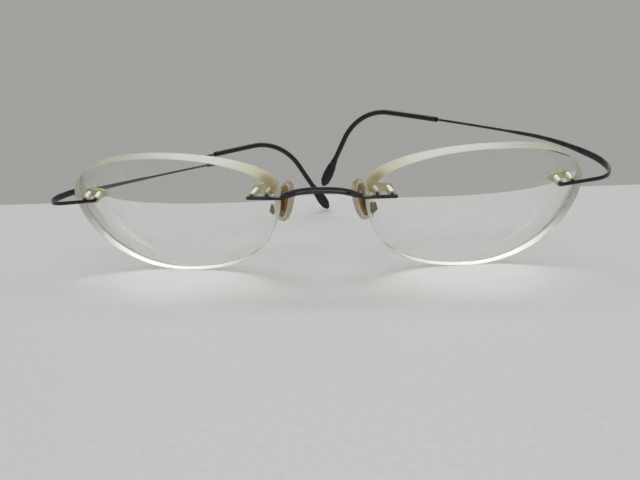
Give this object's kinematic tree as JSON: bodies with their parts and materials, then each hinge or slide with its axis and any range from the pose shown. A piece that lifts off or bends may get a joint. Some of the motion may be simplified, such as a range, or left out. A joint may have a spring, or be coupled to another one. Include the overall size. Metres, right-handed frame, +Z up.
{
  "type": "rimless eyeglasses",
  "caption": "Rimless eyeglasses with drilled clear lenses, an arched wire bridge, soft nose pads and thin sprung temples with bent black tip sleeves, standing open.",
  "frame": {"origin": "the middle of the bounding box's base, on the table that the lens bottoms and one temple tip stand on", "axes": "+X toward the wearer's left, along the width; +Y from the lenses back to the temple tips; +Z up, with the lenses standing"},
  "size_m": [0.146, 0.1008, 0.0407],
  "materials": {
    "lens": "clear, polished, ground edge",
    "titanium": "dark gunmetal satin",
    "sleeve": "black satin",
    "plug": "clear, slightly yellowed",
    "pad_skin": "clear silicone",
    "pad_core": "amber",
    "screw": "plain steel"
  },
  "bodies": {
    "front": {"bridge": "titanium", "left_bridge_pin_inner": "titanium", "left_bridge_pin_outer": "titanium", "left_lens": "lens", "left_nasal_plug": "plug", "left_pad_arm": "titanium", "left_pad_box": "titanium", "left_pad_screw": "screw", "left_temple_leg": "titanium", "left_temple_pin_inner": "titanium", "left_temple_pin_outer": "titanium", "left_temporal_plug": "plug", "right_bridge_pin_inner": "titanium", "right_bridge_pin_outer": "titanium", "right_lens": "lens", "right_nasal_plug": "plug", "right_pad_arm": "titanium", "right_pad_box": "titanium", "right_pad_screw": "screw", "right_temple_leg": "titanium", "right_temple_pin_inner": "titanium", "right_temple_pin_outer": "titanium", "right_temporal_plug": "plug"},
    "right_temple": {"right_temple_wire": "titanium", "right_temple_sleeve": "sleeve"},
    "left_temple": {"left_temple_wire": "titanium", "left_temple_sleeve": "sleeve"},
    "right_pad": {"right_pad_core": "pad_core", "right_pad_skin": "pad_skin"},
    "left_pad": {"left_pad_core": "pad_core", "left_pad_skin": "pad_skin"}
  },
  "joints": [
    {"name": "right_temple_flex", "type": "hinge", "parent": "front", "child": "right_temple", "pos_m": [-0.07269, -0.03335, 0.019], "axis": [0, 0, 1], "range_deg": [-3, 30], "stiffness_Nm_per_rad": 0.1},
    {"name": "left_temple_flex", "type": "hinge", "parent": "front", "child": "left_temple", "pos_m": [0.07269, -0.034, 0.0244], "axis": [0, 0, -1], "range_deg": [-3, 30], "stiffness_Nm_per_rad": 0.1},
    {"name": "right_pad_rock", "type": "hinge", "parent": "front", "child": "right_pad", "pos_m": [-0.01165, -0.03754, 0.01641], "axis": [-0.5264, 0.7805, 0.3373], "range_deg": [-8, 8]},
    {"name": "left_pad_rock", "type": "hinge", "parent": "front", "child": "left_pad", "pos_m": [0.01174, -0.03754, 0.01641], "axis": [0.5264, 0.7805, 0.3373], "range_deg": [-8, 8]}
  ]
}
